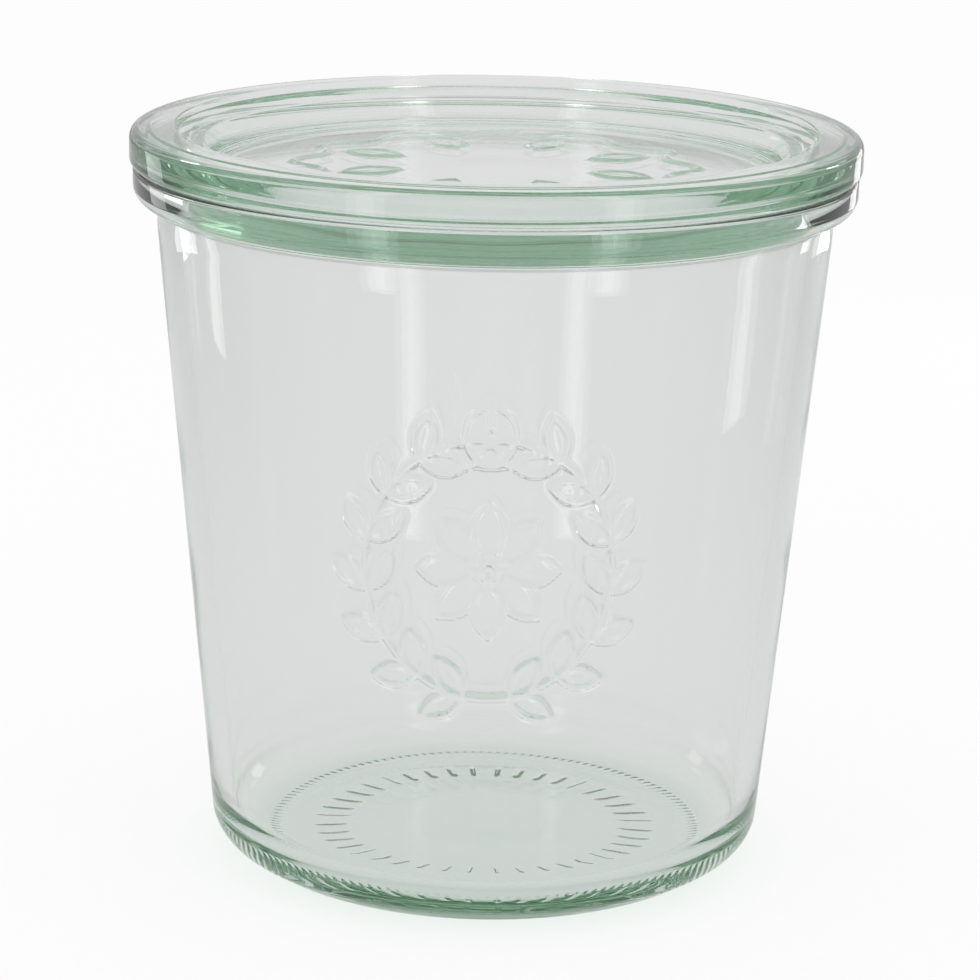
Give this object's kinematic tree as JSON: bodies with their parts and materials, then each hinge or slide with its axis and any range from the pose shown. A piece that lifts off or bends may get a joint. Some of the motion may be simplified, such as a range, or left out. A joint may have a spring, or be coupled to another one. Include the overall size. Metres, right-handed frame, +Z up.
{
  "type": "glass canning jar",
  "caption": "Tapered pressed glass canning jar with a thick flanged rim and a loose flat glass lid with a stepped stacking ring.",
  "frame": {"origin": "centre of the jar's standing ring, on the surface that the jar stands on", "axes": "+Z up along the axis of the jar, -Y towards the decorated front of the wall"},
  "size_m": [0.109, 0.109, 0.1123],
  "materials": {
    "jar_glass": "clear pressed glass, faint green in its thickness",
    "lid_glass": "clear pressed glass, faint green in its thickness"
  },
  "bodies": {
    "root": {"jar": "jar_glass", "lid": "lid_glass"}
  },
  "joints": []
}
